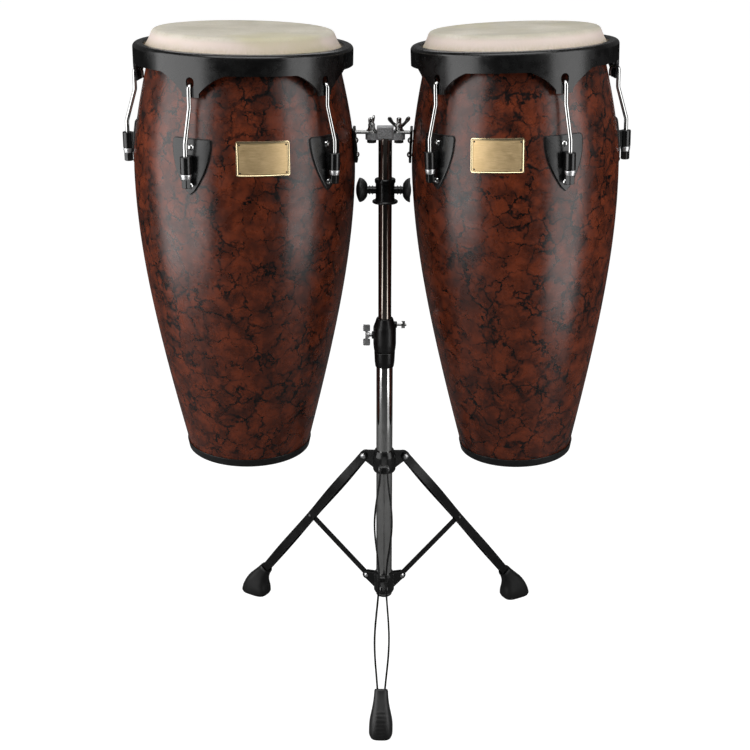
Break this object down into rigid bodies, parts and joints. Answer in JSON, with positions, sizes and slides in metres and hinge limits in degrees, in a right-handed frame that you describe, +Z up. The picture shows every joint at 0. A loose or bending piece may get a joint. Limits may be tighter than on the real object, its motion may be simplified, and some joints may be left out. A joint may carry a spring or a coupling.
{
  "type": "conga drums",
  "caption": "Pair of conga drums with marbled lacquered shells, hung side by side on a height-adjustable folding tripod stand.",
  "frame": {"origin": "on the floor under the middle of the whole object's footprint", "axes": "+Z up, +X to the right as the player's front view shows it, -Y towards the viewer in front; the larger drum is on -X and the smaller on +X"},
  "size_m": [0.826, 0.5218, 1.1002],
  "materials": {
    "shell_lacquer": "satin lacquer, dark red-brown marbling with near-black veins",
    "rawhide": "natural ivory rawhide, faintly mottled",
    "black_coat": "satin black powder coat",
    "chrome": "bright chrome plate",
    "dark_chrome": "dark polished plate on the upper tube",
    "hoop_steel": "plain steel rod",
    "brass": "brushed brass, left blank",
    "rubber": "matt black rubber",
    "black_plastic": "moulded satin black plastic",
    "nylon": "natural nylon",
    "hammered_grey": "grey hammered paint on a casting",
    "grey_zinc": "dull zinc plate"
  },
  "bodies": {
    "stand_base": {"lower_tube": "chrome", "tube_end_plug": "black_plastic", "strut_anchor": "black_coat", "strut_pins": "chrome", "height_clamp": "black_plastic", "clamp_screw": "chrome"},
    "clamp_wing": {"height_wing_bolt": "grey_zinc"},
    "clamp_sleeve": {"clamp_bush": "nylon"},
    "mast": {"upper_tube": "dark_chrome", "tube_guide": "nylon", "mast_head": "hammered_grey", "mast_studs": "chrome", "stud_washers": "chrome"},
    "large_nut": {"large_wing_nut": "chrome"},
    "small_nut": {"small_wing_nut": "chrome"},
    "support": {"support_collar": "black_coat", "bumper_pads": "rubber"},
    "support_wing": {"support_wing_bolt": "grey_zinc"},
    "hub": {"leg_hub": "black_coat", "leg_pins": "chrome"},
    "hub_wing": {"leg_wing_bolt": "grey_zinc"},
    "leg_front": {"front_leg": "black_coat", "front_foot": "rubber"},
    "strut_front": {"front_strut": "black_coat"},
    "leg_right": {"right_leg": "black_coat", "right_foot": "rubber"},
    "strut_right": {"right_strut": "black_coat"},
    "leg_left": {"left_leg": "black_coat", "left_foot": "rubber"},
    "strut_left": {"left_strut": "black_coat"},
    "large_drum": {"large_shell": "shell_lacquer", "large_bottom_ring": "black_plastic", "large_head": "rawhide", "large_flesh_hoop": "hoop_steel", "large_rim": "black_coat", "large_lug_plates": "black_coat", "large_lug_receivers": "black_coat", "large_tension_rods": "chrome", "large_tension_nuts": "chrome", "large_lug_bolts": "chrome", "large_lug_nuts": "grey_zinc", "large_badge": "brass", "large_badge_pins": "brass", "large_mount_bracket": "black_coat", "large_bracket_bolts": "chrome"},
    "small_drum": {"small_shell": "shell_lacquer", "small_bottom_ring": "black_plastic", "small_head": "rawhide", "small_flesh_hoop": "hoop_steel", "small_rim": "black_coat", "small_lug_plates": "black_coat", "small_lug_receivers": "black_coat", "small_tension_rods": "chrome", "small_tension_nuts": "chrome", "small_lug_bolts": "chrome", "small_lug_nuts": "grey_zinc", "small_badge": "brass", "small_badge_pins": "brass", "small_mount_bracket": "black_coat", "small_bracket_bolts": "chrome"}
  },
  "joints": [
    {"name": "mast_swivel", "type": "hinge", "parent": "stand_base", "child": "clamp_sleeve", "pos_m": [0.01529, 0.06312, 0.6], "axis": [0, 0, 1], "continuous": true},
    {"name": "height_slide", "type": "slide", "parent": "clamp_sleeve", "child": "mast", "axis": [0, 0, 1], "range_m": [-0.12, 0.15]},
    {"name": "height_bolt_turn", "type": "hinge", "parent": "stand_base", "child": "clamp_wing", "pos_m": [-0.00671, 0.06312, 0.588], "axis": [-1, 0, 0], "continuous": true},
    {"name": "large_nut_turn", "type": "hinge", "parent": "mast", "child": "large_nut", "pos_m": [-0.00671, 0.06312, 0.955], "axis": [0, 0, 1], "continuous": true},
    {"name": "small_nut_turn", "type": "hinge", "parent": "mast", "child": "small_nut", "pos_m": [0.03729, 0.06312, 0.955], "axis": [0, 0, 1], "continuous": true},
    {"name": "large_drum_swivel", "type": "hinge", "parent": "mast", "child": "large_drum", "pos_m": [-0.00671, 0.06312, 0.934], "axis": [0, 0, 1], "range_deg": [-12, 12]},
    {"name": "small_drum_swivel", "type": "hinge", "parent": "mast", "child": "small_drum", "pos_m": [0.03729, 0.06312, 0.934], "axis": [0, 0, 1], "range_deg": [-12, 12]},
    {"name": "support_slide", "type": "slide", "parent": "mast", "child": "support", "axis": [0, 0, 1], "range_m": [-0.07, 0]},
    {"name": "support_bolt_turn", "type": "hinge", "parent": "support", "child": "support_wing", "pos_m": [0.02113, 0.08225, 0.846], "axis": [0.2924, 0.9563, 0], "continuous": true},
    {"name": "hub_slide", "type": "slide", "parent": "stand_base", "child": "hub", "axis": [0, 0, 1], "range_m": [0, 0.095]},
    {"name": "hub_bolt_turn", "type": "hinge", "parent": "hub", "child": "hub_wing", "pos_m": [0.01529, 0.08812, 0.35], "axis": [0, 1, 0], "continuous": true},
    {"name": "front_leg_fold", "type": "hinge", "parent": "hub", "child": "leg_front", "pos_m": [0.01529, 0.02252, 0.3557], "axis": [1, 0, 0], "range_deg": [0, 30]},
    {"name": "front_strut_fold", "type": "hinge", "parent": "stand_base", "child": "strut_front", "pos_m": [0.01529, 0.02712, 0.115], "axis": [-1, 0, 0], "range_deg": [0, 42]},
    {"name": "right_leg_fold", "type": "hinge", "parent": "hub", "child": "leg_right", "pos_m": [0.05045, 0.08342, 0.3557], "axis": [-0.5, 0.866, 0], "range_deg": [0, 30]},
    {"name": "right_strut_fold", "type": "hinge", "parent": "stand_base", "child": "strut_right", "pos_m": [0.04646, 0.08112, 0.115], "axis": [0.5, -0.866, 0], "range_deg": [0, 42]},
    {"name": "left_leg_fold", "type": "hinge", "parent": "hub", "child": "leg_left", "pos_m": [-0.01988, 0.08342, 0.3557], "axis": [-0.5, -0.866, 0], "range_deg": [0, 30]},
    {"name": "left_strut_fold", "type": "hinge", "parent": "stand_base", "child": "strut_left", "pos_m": [-0.01589, 0.08112, 0.115], "axis": [0.5, 0.866, 0], "range_deg": [0, 42]}
  ],
  "couplings": [
    {"joint": "front_leg_fold", "follows": "hub_slide", "rad_per_m": 5.2002},
    {"joint": "front_strut_fold", "follows": "hub_slide", "rad_per_m": 7.3337},
    {"joint": "right_leg_fold", "follows": "hub_slide", "rad_per_m": 5.2002},
    {"joint": "right_strut_fold", "follows": "hub_slide", "rad_per_m": 7.3337},
    {"joint": "left_leg_fold", "follows": "hub_slide", "rad_per_m": 5.2002},
    {"joint": "left_strut_fold", "follows": "hub_slide", "rad_per_m": 7.3337}
  ]
}
